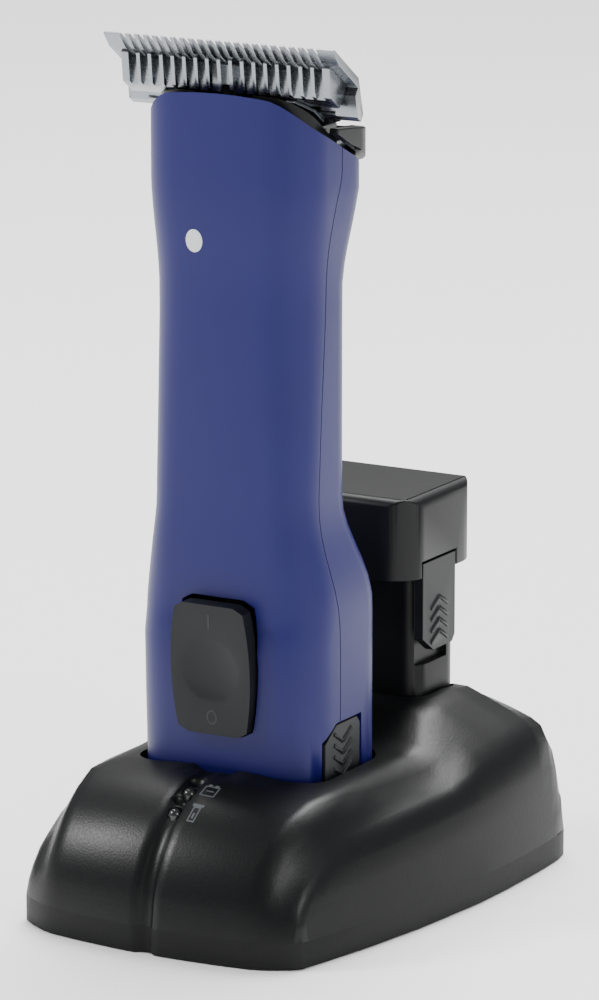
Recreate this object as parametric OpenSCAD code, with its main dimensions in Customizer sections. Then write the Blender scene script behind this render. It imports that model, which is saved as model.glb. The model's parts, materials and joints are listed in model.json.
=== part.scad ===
// Cordless pet clipper standing in its charging dock, with a spare battery behind it.
// Millimetres, +Z up. The origin is on the floor, under the middle of the dock.
// -Y is the front, the side with the switch, and +X is to the right of someone facing it.

/* [Dock] */
// Depth of the dock, front to back
dock_d = 102.5; // [98:0.5:124]
// Widest width of the dock
dock_w = 81.6; // [78:0.2:98]
// Height of the base plate, up to the seam
base_h = 5.4; // [4:0.2:8]
// Height of the dock's top around the clipper
deck_z = 30.2; // [26:0.2:36]
// Height of the dock's top around the spare battery
rear_deck_z = 35; // [30:0.5:42]
// Height of the shoulder along the dock's side
shoulder_z = 22.3; // [18:0.1:26]
// Wall of the dock's moulded top
dock_wall = 2.2; // [1.6:0.1:3]
// Gap between a well and what stands in it
well_gap = 0.7; // [0.4:0.1:1.2]

/* [Clipper] */
// Height of the lower edge of the clipper's shells
shell_z = 23.4; // [20:0.2:26]
// Height of the front edge of the shells at the head
head_z = 160.3; // [150:0.1:175]
// Width of the handle at the battery end
body_w = 40.4; // [38:0.1:50]
// Depth of the handle at the battery end
body_d = 29.4; // [27:0.1:36]
// How much each side is drawn in at the waist
waist_in = 2.9; // [0:0.1:3.4]
// How much the back is drawn in at the waist
waist_back = 6.9; // [2:0.1:7]
// How much narrower each side of the head is than the battery end
head_in = 1.5; // [0:0.1:2.5]
// How far the head's back stands out from the waist
head_out = 3.9; // [1:0.1:5]
// How much the front swells around the switch
front_swell = 1.4; // [0:0.1:2.4]
// Radius of the handle's long edges at the back, and of the battery's cap
edge_r = 7; // [5:0.5:9]
// Radius of the handle's long edges at the front
front_r = 9.4; // [7:0.1:12]
// Wall of the clipper's shells
shell_wall = 1.8; // [1.2:0.1:2]
// Place of the clipper's middle along the dock, measured from the origin
clipper_y = -8.5; // [-10:0.1:-7]

/* [Battery] */
// Height of the battery's grip cap
cap_h = 16.5; // [14:0.5:20]
// Width of the battery's tongue
tongue_w = 35.2; // [34:0.2:36]
// Depth of the battery's tongue
tongue_d = 16.6; // [16:0.1:17.4]
// Length of the battery's tongue
tongue_h = 42.6; // [34:0.2:52]
// Diameter of one cell
cell_d = 13.6; // [10:0.1:14]
// Length of one cell
cell_h = 39; // [30:0.5:39.5]
// Place of the spare battery's middle along the dock
spare_y = 30.2; // [28:0.1:32]
// Width of a battery latch
latch_w = 13.4; // [11:0.2:17]
// Length of a battery latch
latch_h = 15.4; // [12:0.2:18]
// Thickness of a battery latch
latch_t = 2; // [1.6:0.1:2.2]

/* [Switch] */
// Width of the rocker at its middle
rocker_w = 17.6; // [14:0.2:19]
// Height of the rocker
rocker_h = 26; // [22:0.5:30]
// How far the rocker stands out of the shell
rocker_proud = 1.9; // [1:0.1:3]
// Height of the rocker's pivot
rocker_z = 50.3; // [46:0.1:54]
// Diameter of the rocker's axle
rocker_axle_d = 2; // [1.6:0.1:2.4]

/* [Drive] */
// Width of the motor's can across its round sides
motor_w = 20.4; // [17:0.2:25]
// Depth of the motor's can across its flats
motor_d = 15.4; // [14:0.2:15.8]
// Length of the motor's can
motor_h = 30; // [26:0.5:31]
// Diameter of the motor's shaft
shaft_d = 2; // [1.6:0.1:2.4]
// Outer diameter of the eccentric's bearing
bearing_d = 7; // [5.8:0.1:8.6]
// How far the eccentric stands off the shaft
throw = 0.6; // [0.4:0.05:0.7]
// Diameter of the drive lever's pivot pin
pivot_d = 3; // [2.4:0.1:3.4]
// Height of the drive lever's pivot
pivot_z = 132; // [130:0.5:133]
// Width of the drive lever's finger
finger_w = 3; // [2.4:0.1:3.6]

/* [Blade] */
// Width of the comb
comb_w = 50; // [46:0.5:54]
// Spacing of the comb's teeth
comb_pitch = 1.98; // [1.8:0.02:2.1]
// Width of the cutter
cutter_w = 45.4; // [42:0.2:47]
// Spacing of the cutter's ridges
cutter_pitch = 2.53; // [2.3:0.01:2.55]
// Lean of the blade below the horizontal, in degrees
blade_lean = 34.9; // [30:0.1:40]
// Height of the comb's tips
tip_z = 171; // [168:0.1:173]
// How far the comb's tips stand in front of the dock's middle
tip_y = -23; // [-24:0.1:-22]
// Diameter of the blade's hinge pin
hinge_pin_d = 2.4; // [2:0.1:3]

/* [Fits] */
// Radial clearance of a pin that turns in its hole
pin_fit = 0.05; // [0.02:0.01:0.08]
// Gap between parts that slide past each other
slide_gap = 0.3; // [0.2:0.05:0.4]
// Gap of a moulded seam
seam_gap = 0.24; // [0.1:0.02:0.4]
// Gap between the moving cutter and the comb
cutter_gap = 0.06; // [0.03:0.01:0.1]

/* [Hidden] */
$fn = 48;
eps = 0.01;

black = "#24272a";
grey_black = "#33373a";
blue = "#3a3f8c";
steel = "#c9ccd0";
brass = "#c9a85a";
green = "#2f6b48";
clear = "#9aa39a";

// ---------- shared helpers ----------
function clamp01(t) = min(1, max(0, t));
function ease(a, b, v) = let (t = clamp01((v - a) / (b - a))) t * t * (3 - 2 * t);
function lerp(a, b, t) = a + (b - a) * t;
function flip(list) = [for (i = [len(list) - 1:-1:0]) list[i]];

// A rounded rectangle prism, exact, centred on x and y, standing on z = 0
module rounded_block(w, d, h, r) {
    cube_w = w - 2 * r;
    cube_d = d - 2 * r;
    translate([-w / 2, -cube_d / 2, 0]) cube([w, cube_d, h]);
    translate([-cube_w / 2, -d / 2, 0]) cube([cube_w, d, h]);
    for (sx = [-1, 1], sy = [-1, 1])
        translate([sx * cube_w / 2, sy * cube_d / 2, 0]) cylinder(r = r, h = h);
}

module centred_box(w, d, h) {
    translate([-w / 2, -d / 2, 0]) cube([w, d, h]);
}

// A rod along X, centred on x = 0
module rod_x(d, length) {
    rotate([0, 90, 0]) translate([0, 0, -length / 2]) cylinder(d = d, h = length);
}

// A rod along Y that starts at y = 0 and runs to +Y
module rod_y(d, length) {
    rotate([-90, 0, 0]) cylinder(d = d, h = length);
}

// ---------- the dock's outer form ----------
dock_front = -dock_d / 2;
dock_back = dock_d / 2;
dock_corner_y = dock_front + 6.6;
dock_corner_x = dock_w / 2 - 10.1;
dock_wide_y = dock_back - 24;
back_corner_r = 9;
back_x = dock_w / 2 - 0.6;
groove_w = 3.2;
groove_depth = 1.1;
hood_y = dock_front + 26.3;
inner_crease_x = max(dock_w / 2 - 14.8, body_w / 2 + 5.8);
front_crease_x = dock_w / 2 - 20;
wall_draft = 5.2;

// Half-width of the plan outline at y
function side_x(y) =
    y < dock_wide_y
    ? dock_w / 2 - (dock_w / 2 - dock_corner_x) * pow((dock_wide_y - y) / (dock_wide_y - dock_corner_y), 2.2)
    : lerp(dock_w / 2, back_x, pow((y - dock_wide_y) / (dock_back - back_corner_r - dock_wide_y), 2));
// Front edge of the plan outline at x, bowed, and falling back to the corners
function front_y(x) =
    dock_front + 1.65 * pow(min(abs(x), front_crease_x) / front_crease_x, 2)
    + (dock_corner_y - dock_front - 1.65)
    * pow(clamp01((abs(x) - front_crease_x) / (dock_corner_x - front_crease_x)), 1.6);
// Rear edge of the plan outline at x, with round corners
function back_y(x) =
    dock_back - back_corner_r
    + sqrt(max(0, pow(back_corner_r, 2) - pow(max(0, abs(x) - back_x + back_corner_r), 2)));

function inner_x(y) = inner_crease_x - (inner_crease_x - front_crease_x) * pow(clamp01((hood_y - y) / 26.3), 2);
function outer_x(y) = side_x(min(max(y, dock_corner_y), dock_back - back_corner_r)) - 3.4;
function shoulder(y) = shoulder_z + 0.9 * ease(0, 20, y) + 3.4 * ease(18, 46, y) - 2.2 * ease(0, -30, y);
function crown(x, y) =
    let (a = abs(x), xi = inner_x(y), xo = outer_x(y),
         deck = deck_z - 2.2 * pow(min(a, xi) / xi, 2),
         rear = rear_deck_z - 2.4 * ease(34, 50, y),
         t = clamp01((a - xi) / max(1, xo - xi)),
         u = clamp01((a - 20) / max(1, xo - 20)),
         front_top = a < xi ? deck : lerp(deck, shoulder(y), 1 - pow(1 - t, 1.7)),
         rear_top = lerp(rear, shoulder(y), pow(u, 1.15)))
    lerp(front_top, rear_top, ease(9, 20, y));
// The front rolls down to the seam as a quarter of an ellipse
function roll(x, y) = sqrt(max(0, 1 - pow(clamp01((hood_y - y) / (hood_y - front_y(x))), 2)));
function groove(x, y) = groove_depth * exp(-pow(x / groove_w * 2, 4)) * ease(hood_y - 4, hood_y - 8, y);
// A soft least of the top, side and back heights rounds the creases between them
crease = 6;
function dock_z(x, y, side_in, back_in) =
    let (heights = [roll(x, y) * (crown(x, y) - base_h) - groove(x, y), side_in * wall_draft, back_in * wall_draft],
         sum = [for (h = heights) pow(max(h, 0.02), -crease)] * [1, 1, 1])
    base_h + pow(sum, -1 / crease);

across = [0, 0.028, 0.045, 0.07, 0.12, 0.24, 0.38, 0.5, 0.58, 0.65, 0.72, 0.79, 0.85, 0.9, 0.935, 0.96, 0.98, 1];
along = [0, 0.006, 0.02, 0.045, 0.08, 0.13, 0.19, 0.27, 0.36, 0.46, 0.55, 0.61, 0.67, 0.74, 0.82, 0.89,
         0.94, 0.965, 0.985, 1];
// How far back the groove's notch in the front edge fades out, as a part of the depth
notch_fade = 0.08;
// How far the hollow reaches below the seam, so that it opens the form
form_lap = 1;
across_all = concat([for (i = [len(across) - 1:-1:1]) -across[i]], across);

// One point of the dock's skin; inset moves it inwards by a wall
function dock_point(u, v, inset) =
    let (y_side = lerp(dock_corner_y, dock_back - back_corner_r, v),
         x0 = u * side_x(y_side),
         y0 = lerp(front_y(x0), back_y(x0), v),
         notch = groove(x0, dock_front) * max(0, 1 - v / notch_fade),
         edge = abs(u) == 1 || v == 0 || v == 1,
         z0 = edge ? base_h : dock_z(x0, y0, side_x(y_side) - abs(x0), back_y(x0) - y0),
         sx = (dock_w / 2 - inset) / (dock_w / 2),
         sy = (dock_d / 2 - inset) / (dock_d / 2))
    [x0 * sx, (y0 + notch) * sy, edge ? base_h - (inset > 0 ? form_lap : 0) : z0 - inset];

function dock_outline() =
    let (m = len(along) - 1)
    concat([for (u = across_all) dock_point(u, 0, 0)],
           [for (j = [1:m]) dock_point(1, along[j], 0)],
           [for (i = [len(across_all) - 2:-1:0]) dock_point(across_all[i], 1, 0)],
           [for (j = [m - 1:-1:1]) dock_point(-1, along[j], 0)]);

module dock_form(inset) {
    nu = len(across_all);
    nv = len(along);
    // the skin's points, and last the middle of the open underside
    points = concat([for (v = along, u = across_all) dock_point(u, v, inset)],
                    [[0, 0, base_h - (inset > 0 ? form_lap : 0)]]);
    skin = [for (j = [0:nv - 2], i = [0:nu - 2])
        let (a = j * nu + i, b = a + 1, c = a + nu, d = c + 1)
        each (u_side(i, nu) ? [[a, c, d], [a, d, b]] : [[a, c, b], [b, c, d]])];
    rim = concat([for (i = [0:nu - 1]) i], [for (j = [1:nv - 1]) j * nu + nu - 1],
                 [for (i = [nu - 2:-1:0]) (nv - 1) * nu + i], [for (j = [nv - 2:-1:1]) j * nu]);
    under = [for (i = [0:len(rim) - 1]) [nu * nv, rim[i], rim[(i + 1) % len(rim)]]];
    polyhedron(points, concat(under, skin), convexity = 6);
}
function u_side(i, nu) = i < (nu - 1) / 2;

// ---------- wells, batteries and their places ----------
cap_w = body_w;
cap_d = body_d;
cap_r = edge_r;
floor_z = 6.7;
cap_top = floor_z + cap_h;
tongue_shift = 2.3;
tongue_r = 4;
tongue_wall = 1.2;
spare_top = 76.6;
spare_cap_z = spare_top - cap_h;
spare_tip_z = spare_cap_z - tongue_h;
cradle_wall = 1.4;
cradle_floor = 1;
cradle_top = 24.6;
latch_out = cap_w / 2 - 0.1;
cap_lip = 2.6;
// Charging pads on the back of the cap
pad_w = 4.8;
pad_z = 5;
pad_h = 6;

module at_clipper_battery() {
    translate([0, clipper_y, floor_z]) children();
}
// The spare stands on its head: turned about Y, so its front stays at the front
module at_spare_battery() {
    translate([0, spare_y, spare_top]) rotate([0, 180, 0]) children();
}

module well_prism(w, d, r, z0, z1) {
    translate([0, 0, z0]) rounded_block(w + 2 * well_gap, d + 2 * well_gap, z1 - z0, r + well_gap);
}
module clipper_well(z0, z1) {
    translate([0, clipper_y, 0]) well_prism(cap_w, cap_d, cap_r, z0, z1);
}
module spare_well(z0, z1) {
    translate([0, spare_y + tongue_shift, 0]) well_prism(tongue_w, tongue_d, tongue_r, z0, z1);
}

// ---------- dock pieces ----------
screw_places = [for (sx = [-1, 1]) each [[sx * (dock_w / 2 - 16.8), dock_front + 15.2],
                                         [sx * (dock_w / 2 - 9.8), dock_back - 13.2]]];
boss_d = 6;
boss_z = 14;
screw_d = 2.6;
screw_head_d = 5;
inlet_z = 11;
inlet_w = 9;
inlet_h = 7.4;
inlet_d = 7.6;
inlet_bore_d = 5.6;
lens_y = [dock_front + 17.05, dock_front + 11.65];
lens_d = 2.6;
dimple_step = 2.8;
dimple_r = 1.9;
dimple_depth = 0.9;
// Height of the dock's top along the groove's middle
function groove_top(y) = base_h + roll(0, y) * (deck_z - base_h) - groove(0, y);
top_clear = 70;

module dock_top_shell() {
    color(black)
    difference() {
        dock_form(0);
        dock_form(dock_wall);
        clipper_well(base_h - 2, top_clear);
        spare_well(base_h - 2, top_clear);
        // thumb notch in the front rim
        translate([0, clipper_y - cap_d / 2 - 1, deck_z + 7.4]) rotate([-90, 0, 0])
            cylinder(r = 9, h = 4, center = true);
        // a dimple behind each lens
        for (y = lens_y)
            translate([0, y + dimple_step, groove_top(y + dimple_step) + dimple_r - dimple_depth])
                sphere(r = dimple_r);
        for (y = lens_y)
            translate([0, y, base_h + 8]) cylinder(d = lens_d + 0.2, h = 20);
        translate([-inlet_w / 2 - 0.2, dock_back - 6, inlet_z - inlet_h / 2 - 0.2])
            cube([inlet_w + 0.4, 8, inlet_h + 0.4]);
    }
}

module outline_plate(z, h, inset) {
    s = [(dock_w / 2 - inset) / (dock_w / 2), (dock_d / 2 - inset) / (dock_d / 2)];
    translate([0, 0, z]) linear_extrude(h)
        polygon([for (p = dock_outline()) [p[0] * s[0], p[1] * s[1]]]);
}

foot_d = 9;
foot_h = 0.8;
foot_places = [for (sx = [-1, 1]) each [[sx * (dock_w / 2 - 14.8), dock_front + 13.25],
                                        [sx * (dock_w / 2 - 9.8), dock_back - 11.25]]];
plate_floor = 2;
foot_recess = 0.6;
plate_z = foot_h - foot_recess;

module dock_base_plate() {
    color(black)
    difference() {
        union() {
            outline_plate(plate_z, base_h - plate_z, 0);
            outline_plate(base_h - eps, 1.6, dock_wall + 1.4);
            for (place = screw_places)
                translate([place[0], place[1], plate_z]) cylinder(d = boss_d, h = boss_z - plate_z);
        }
        difference() {
            outline_plate(plate_z + plate_floor, base_h + 4, 3.6);
            for (place = screw_places)
                translate([place[0], place[1], 0]) cylinder(d = boss_d, h = boss_z + 4);
        }
        for (place = screw_places) {
            translate([place[0], place[1], 0]) cylinder(d = screw_d + 0.4, h = boss_z + 2);
            translate([place[0], place[1], 0]) cylinder(d = screw_head_d + 0.6, h = plate_z + 2.6);
        }
        for (place = foot_places)
            translate([place[0], place[1], 0]) cylinder(d = foot_d, h = plate_z + foot_recess);
        translate([-inlet_w / 2 - 0.2, dock_back - 6, inlet_z - inlet_h / 2 - 0.2])
            cube([inlet_w + 0.4, 8, inlet_h]);
    }
}

module dock_feet() {
    color(grey_black)
    for (place = foot_places)
        translate([place[0], place[1], 0]) cylinder(d = foot_d - 0.3, h = foot_h - eps);
}

module dock_screws() {
    color(steel)
    for (place = screw_places)
        translate([place[0], place[1], plate_z + 0.9])
            difference() {
                union() {
                    cylinder(d = screw_head_d, h = 1.7);
                    cylinder(d = screw_d, h = boss_z - plate_z - 2);
                }
                translate([-1.7, -0.3, -1]) cube([3.4, 0.6, 1.8]);
                translate([-0.3, -1.7, -1]) cube([0.6, 3.4, 1.8]);
            }
}

// A cup that stands on the base plate under a well
module cradle(w, d, r, z0, slot_y) {
    translate([0, 0, z0])
    difference() {
        rounded_block(w + 2 * (well_gap + cradle_wall), d + 2 * (well_gap + cradle_wall),
                      cradle_top - z0, r + well_gap + cradle_wall);
        translate([0, 0, cradle_floor])
            rounded_block(w + 2 * well_gap, d + 2 * well_gap, cradle_top, r + well_gap);
        for (sx = [-1, 1])
            translate([sx * contact_x, slot_y, -1]) centred_box(3, 1.4, 4);
    }
}
contact_x = 8;
// The sprung contacts stand in the gap behind the cap
cap_contact_y = cap_d / 2 + well_gap / 2 + 0.02;
clipper_cradle_z = floor_z - cradle_floor - 0.7;
spare_cradle_z = spare_tip_z - cradle_floor - 0.6;

module clipper_cradle() {
    color(black) translate([0, clipper_y, 0]) cradle(cap_w, cap_d, cap_r, clipper_cradle_z, cap_contact_y);
}
module battery_cradle() {
    color(black) translate([0, spare_y + tongue_shift, 0]) cradle(tongue_w, tongue_d, tongue_r, spare_cradle_z, 0);
}

board_z = plate_z + plate_floor + 0.6;
board_h = 1.2;

board_y = spare_y - 2;
module dock_circuit_board() {
    color(green)
    difference() {
        translate([0, board_y, board_z]) centred_box(44, 34, board_h);
        for (sx = [-1, 1], sy = [-1, 1])
            translate([sx * 19, board_y + sy * 14, board_z - 1]) cylinder(d = 2.6, h = 4);
    }
}
module dock_transformer() {
    color(grey_black) translate([-11, board_y - 9, board_z + board_h]) centred_box(12, 8, 8);
    color("#b06a34") translate([-11, board_y - 9, board_z + board_h + 8]) centred_box(9, 6, 1.4);
}
module dock_capacitors() {
    color("#3b4a63")
    for (place = [[0, -9], [7, -9], [14, -9]])
        translate([place[0], board_y + place[1], board_z + board_h]) cylinder(d = 5.6, h = 7.5);
}
// Two sprung contact blades that reach up through a cradle's floor
module contact_pair(z0, z1) {
    for (sx = [-1, 1])
        translate([sx * contact_x, 0, z0]) {
            centred_box(2, 0.5, z1 - z0);
            translate([0, 1.2, 0]) centred_box(2, 2.9, 0.5);
        }
}
module dock_clipper_contacts() {
    color(brass) translate([0, clipper_y + cap_contact_y, 0]) contact_pair(plate_z + plate_floor, floor_z + pad_z + pad_h);
}
module dock_battery_contacts() {
    color(brass) translate([0, spare_y + tongue_shift, 0])
        contact_pair(board_z + board_h, spare_tip_z - 0.9);
}
module indicator_lenses() {
    color(clear)
    for (y = lens_y) {
        top = groove_top(y);
        translate([0, y, base_h + 7.4]) {
            cylinder(d = lens_d, h = top - base_h - 7.8);
            translate([0, 0, top - base_h - 7.8]) intersection() {
                sphere(d = lens_d);
                cylinder(d = lens_d, h = lens_d);
            }
        }
    }
}
module power_inlet() {
    color(grey_black)
    difference() {
        translate([-inlet_w / 2, dock_back - inlet_d - 0.9, inlet_z - inlet_h / 2])
            cube([inlet_w, inlet_d, inlet_h]);
        translate([0, dock_back - inlet_d + 1.1, inlet_z]) rod_y(inlet_bore_d, inlet_d);
    }
}
module power_inlet_pin() {
    color(steel) translate([0, dock_back - inlet_d + 1.1, inlet_z]) rod_y(2, inlet_d - 2.6);
}

// ---------- battery, drawn with its cap down and its tongue up ----------
latch_gap = 0.25;
// Place of the latches along the battery, the slant of their front corner, and the height of their tips
latch_y = -1.9;
latch_slant = 4.4;
latch_tip = 3;
latch_depth_d = latch_w + 2 * latch_gap;
recess_d = 4.4;

module battery_case() {
    color(black)
    difference() {
        translate([0, tongue_shift, cap_h]) rounded_block(tongue_w, tongue_d, tongue_h, tongue_r);
        for (sx = [-1, 1])
            translate([sx * (cell_d / 2 + 0.12), tongue_shift, cap_h + 1])
                cylinder(d = cell_d + 0.2, h = cell_h + 1);
        for (sx = [-1, 1])
            translate([sx * (tongue_w / 2 + 2), latch_y, cap_h - 1])
                centred_box(recess_d + 4 - 1.6, latch_depth_d + 1.4, latch_h + 4.6);
    }
    color(black) translate([0, tongue_shift - tongue_d / 2 - 0.5, cap_h]) centred_box(5, 1.1, 14);
}
// Side view of the cap, with its two lower corners rounded
module cap_profile(w) {
    translate([-w / 2, cap_lip]) square([w, cap_h - cap_lip - 0.05]);
    translate([cap_lip - w / 2, 0]) square([w - 2 * cap_lip, cap_lip + eps]);
    for (sx = [-1, 1])
        translate([sx * (w / 2 - cap_lip), cap_lip]) circle(r = cap_lip);
}
module battery_cap() {
    color(grey_black)
    difference() {
        intersection() {
            rounded_block(cap_w, cap_d, cap_h - 0.05, cap_r);
            rotate([90, 0, 0]) translate([0, 0, -cap_d]) linear_extrude(2 * cap_d) cap_profile(cap_w);
            rotate([90, 0, 90]) translate([0, 0, -cap_w]) linear_extrude(2 * cap_w) cap_profile(cap_d);
        }
        for (sx = [-1, 1]) {
            translate([sx * contact_x, cap_d / 2, pad_z - 0.1]) centred_box(pad_w + 0.2, 1.2, pad_h + 0.2);
            // slot that the latch root stands in
            translate([sx * (latch_out - latch_t / 2), latch_y, cap_h - 3.4])
                centred_box(latch_t + 2 * latch_gap + 1.4, latch_depth_d, 4);
        }
    }
}
// The latch hangs on a thin root and swings inwards when it is pressed
module battery_latch(side) {
    color(grey_black) {
        translate([side * (latch_out - latch_t / 2), latch_y, cap_h - latch_tip]) {
            centred_box(latch_t, latch_w, latch_h);
            translate([0, 0, latch_h])
                rotate([90, 0, 90]) translate([0, 0, -latch_t / 2])
                    linear_extrude(latch_t)
                        polygon([[-latch_w / 2, 0], [latch_w / 2, 0], [latch_w / 2, latch_tip - 1.4],
                                 [latch_w / 2 - 1.2, latch_tip], [latch_slant - latch_w / 2, latch_tip]]);
        }
        // chevron ribs
        for (i = [0:3], sy = [-1, 1])
            translate([side * (latch_out + 0.02), latch_y, cap_h + 4.4 + i * 2.3])
                rotate([sy * 32, 0, 0])
                    translate([-0.25, sy > 0 ? 0.2 : -4.2, 0]) cube([0.5, 4, 0.7]);
    }
}
module battery_cells() {
    color("#7b8f5a")
    for (sx = [-1, 1])
        translate([sx * (cell_d / 2 + 0.12), tongue_shift, cap_h + 1.2]) {
            cylinder(d = cell_d, h = cell_h - 1);
            cylinder(d = 5, h = cell_h);
        }
}
module battery_terminals() {
    color(brass) {
        for (sx = [-1, 1]) {
            translate([sx * contact_x, cap_d / 2 - 0.35, pad_z]) centred_box(pad_w, 0.5, pad_h);
            translate([sx * contact_x, tongue_shift, cap_h + tongue_h + 0.02]) centred_box(4, 8, 0.5);
        }
    }
}

module clipper_battery_case() { at_clipper_battery() battery_case(); }
module clipper_battery_cap() { at_clipper_battery() battery_cap(); }
module clipper_battery_latch_left() { at_clipper_battery() battery_latch(-1); }
module clipper_battery_latch_right() { at_clipper_battery() battery_latch(1); }
module clipper_battery_cells() { at_clipper_battery() battery_cells(); }
module clipper_battery_terminals() { at_clipper_battery() battery_terminals(); }
module spare_battery_case() { at_spare_battery() battery_case(); }
module spare_battery_cap() { at_spare_battery() battery_cap(); }
module spare_battery_latch_left() { at_spare_battery() battery_latch(1); }
module spare_battery_latch_right() { at_spare_battery() battery_latch(-1); }
module spare_battery_cells() { at_spare_battery() battery_cells(); }
module spare_battery_terminals() { at_spare_battery() battery_terminals(); }

// ---------- the clipper's shells ----------
waist_lo = 60;
waist_hi = 82;
head_lo = 122;
head_hi = 144;
front_face = clipper_y - body_d / 2;
back_face = clipper_y + body_d / 2;

// How far the handle is drawn in at height z, from 0 at the battery to 1 at the waist
function waist(z) = ease(waist_lo, waist_hi, z);
function flare(z) = ease(head_lo, head_hi, z);
function swell(z) = ease(shell_z + 6, rocker_z, z) * (1 - ease(rocker_z, waist_lo + 1, z));
function half_w(z) = body_w / 2 - waist_in * waist(z) + (waist_in - head_in) * flare(z);
function front_at(z) = front_face + 0.4 * waist(z) - 0.5 * flare(z) - front_swell * swell(z);
function back_at(z) = back_face - waist_back * waist(z) + head_out * flare(z);
function seam_at(z) =
    clipper_y - 3 - 3.3 * ease(54, 78, z) + 2.6 * ease(82, 125, z) + 3.7 * ease(128, 152, z);

// The shells' upper edge slopes down to the back
head_back_z = head_z - 14.8;
function head_edge(y) = let (d = 1 - y) head_back_z + 0.48 * d + 0.06 * pow(max(0, d - 17), 2);
level_z = 140;
function shell_height(z, y) =
    z <= level_z ? z : level_z + (z - level_z) / (head_z - level_z) * (head_edge(y) - level_z);

// Half outline of the handle at height z: side = -1 is the front half, 1 is the back half
arc_steps = 7;
// Straight length kept between a rounded corner and the seam
corner_room = 0.4;
function half_outline(z, inset, side) =
    let (w = half_w(z) - inset,
         y_out = side < 0 ? front_at(z) : back_at(z),
         y_end = y_out - side * inset,
         y_seam = seam_at(z) + side * seam_gap / 2,
         r = min(side < 0 ? front_r : edge_r, abs(y_out - y_seam) - corner_room) - inset,
         cy = y_end - side * r, bow = 0.35)
    [for (sx = [-1, 1])
        let (arc = [for (i = [0:arc_steps]) let (a = 90 * i / arc_steps)
                    [sx * (w - r + r * cos(a)), cy + side * r * sin(a)]],
             run = concat([[sx * w, y_seam], [sx * w, lerp(y_seam, cy, 0.5)]], arc,
                          [[sx * (w - r) * 0.5, y_end + side * bow * 0.75]]))
        each (sx < 0 ? run : concat([[0, y_end + side * bow]], flip(run)))];

levels = concat([shell_z, 40, 54], [for (z = [58:3.5:82.5]) z], [84, 100, 117],
                [for (z = [120:3.5:141]) z], [144, 148, 152, 156, head_z]);

// One half of the shell: a closed loop of outer and inner points at each level
module half_shell(side) {
    loops = [for (z = levels)
        concat([for (p = half_outline(z, 0, side)) [p[0], p[1], shell_height(z, p[1])]],
               flip([for (p = half_outline(z, shell_wall, side)) [p[0], p[1], shell_height(z, p[1])]]))];
    n = len(loops[0]);
    m = len(loops);
    half = n / 2;
    turned = side > 0;
    walls = [for (j = [0:m - 2], i = [0:n - 1])
        let (a = j * n + i, b = j * n + (i + 1) % n, c = a + n, d = b + n)
        each (turned ? [[a, b, d], [a, d, c]] : [[a, d, b], [a, c, d]])];
    caps = [for (j = [0, m - 1], i = [0:half - 2])
        let (a = j * n + i, b = a + 1, c = j * n + n - 1 - i, d = c - 1, top = j > 0)
        each ((top != turned) ? [[a, c, b], [b, c, d]] : [[a, b, c], [b, d, c]])];
    polyhedron([for (loop = loops) each loop], concat(walls, caps), convexity = 8);
}

notch_w = latch_w + 2 * latch_gap + 0.3;
notch_depth = 6.6;
notch_top = floor_z + cap_h + latch_h + 0.4;
shell_screw_z = [86, 114];
shell_screw_x = 13.2;
shell_boss_d = 4.2;
shell_screw_d = 2;
shell_head_d = 3.8;
shell_head_depth = 3;
// The bosses start inside the rounded corners of the wall
front_boss_in = 4.2;
rear_boss_in = 2.9;

// The front corner of a notch is cut off like the latch's own
module latch_notches() {
    for (sx = [-1, 1])
        translate([sx * body_w / 2, clipper_y + latch_y, 0])
            rotate([90, 0, 90]) translate([0, 0, -notch_depth / 2])
                linear_extrude(notch_depth)
                    polygon([[-notch_w / 2, shell_z - 1], [notch_w / 2, shell_z - 1], [notch_w / 2, notch_top],
                             [latch_slant - notch_w / 2, notch_top],
                             [-notch_w / 2, notch_top - latch_tip]]);
}

module shell_bosses(y0, y1, bore) {
    for (z = shell_screw_z, sx = [-1, 1])
        translate([sx * shell_screw_x, y0, z]) rod_y(bore, y1 - y0);
}

module front_shell() {
    z_mid = shell_screw_z[0];
    color(blue)
    difference() {
        union() {
            half_shell(-1);
            shell_bosses(front_at(z_mid) + front_boss_in, seam_at(100) - 1, shell_boss_d);
        }
        latch_notches();
        rocker_outline(0.5, front_at(rocker_z) - 4, 8);
        shell_bosses(front_at(z_mid) + front_boss_in + 1.4, seam_at(100), shell_screw_d + 2 * pin_fit);
    }
}
module rear_shell() {
    z_mid = shell_screw_z[0];
    color(blue)
    difference() {
        union() {
            half_shell(1);
            shell_bosses(seam_at(100) - 0.9, back_at(z_mid) - rear_boss_in, shell_boss_d);
        }
        latch_notches();
        shell_bosses(seam_at(100) - 2, back_at(z_mid) + 1, shell_screw_d + 0.3);
        shell_bosses(back_at(z_mid) - shell_head_depth, back_at(z_mid) + 2, shell_head_d + 0.4);
    }
}
// Screws from the back; their heads sit in the rear shell
module shell_screws() {
    seat = back_at(shell_screw_z[0]) - shell_head_depth + 0.02;
    shank = seat - seam_at(100) + 3;
    color(steel)
    for (z = shell_screw_z, sx = [-1, 1])
        translate([sx * shell_screw_x, seat, z])
            difference() {
                union() {
                    rod_y(shell_head_d, 0.9);
                    translate([0, -shank, 0]) rod_y(shell_screw_d, shank + eps);
                }
                translate([-1.3, 0.4, -0.3]) cube([2.6, 1.6, 0.6]);
                translate([-0.3, 0.4, -1.3]) cube([0.6, 1.6, 2.6]);
            }
}

// ---------- blade frame: x across, s back from the tips, n down towards the switch side ----------
module in_blade() {
    translate([0, tip_y, tip_z]) rotate([-blade_lean, 0, 0]) children();
}
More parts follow.
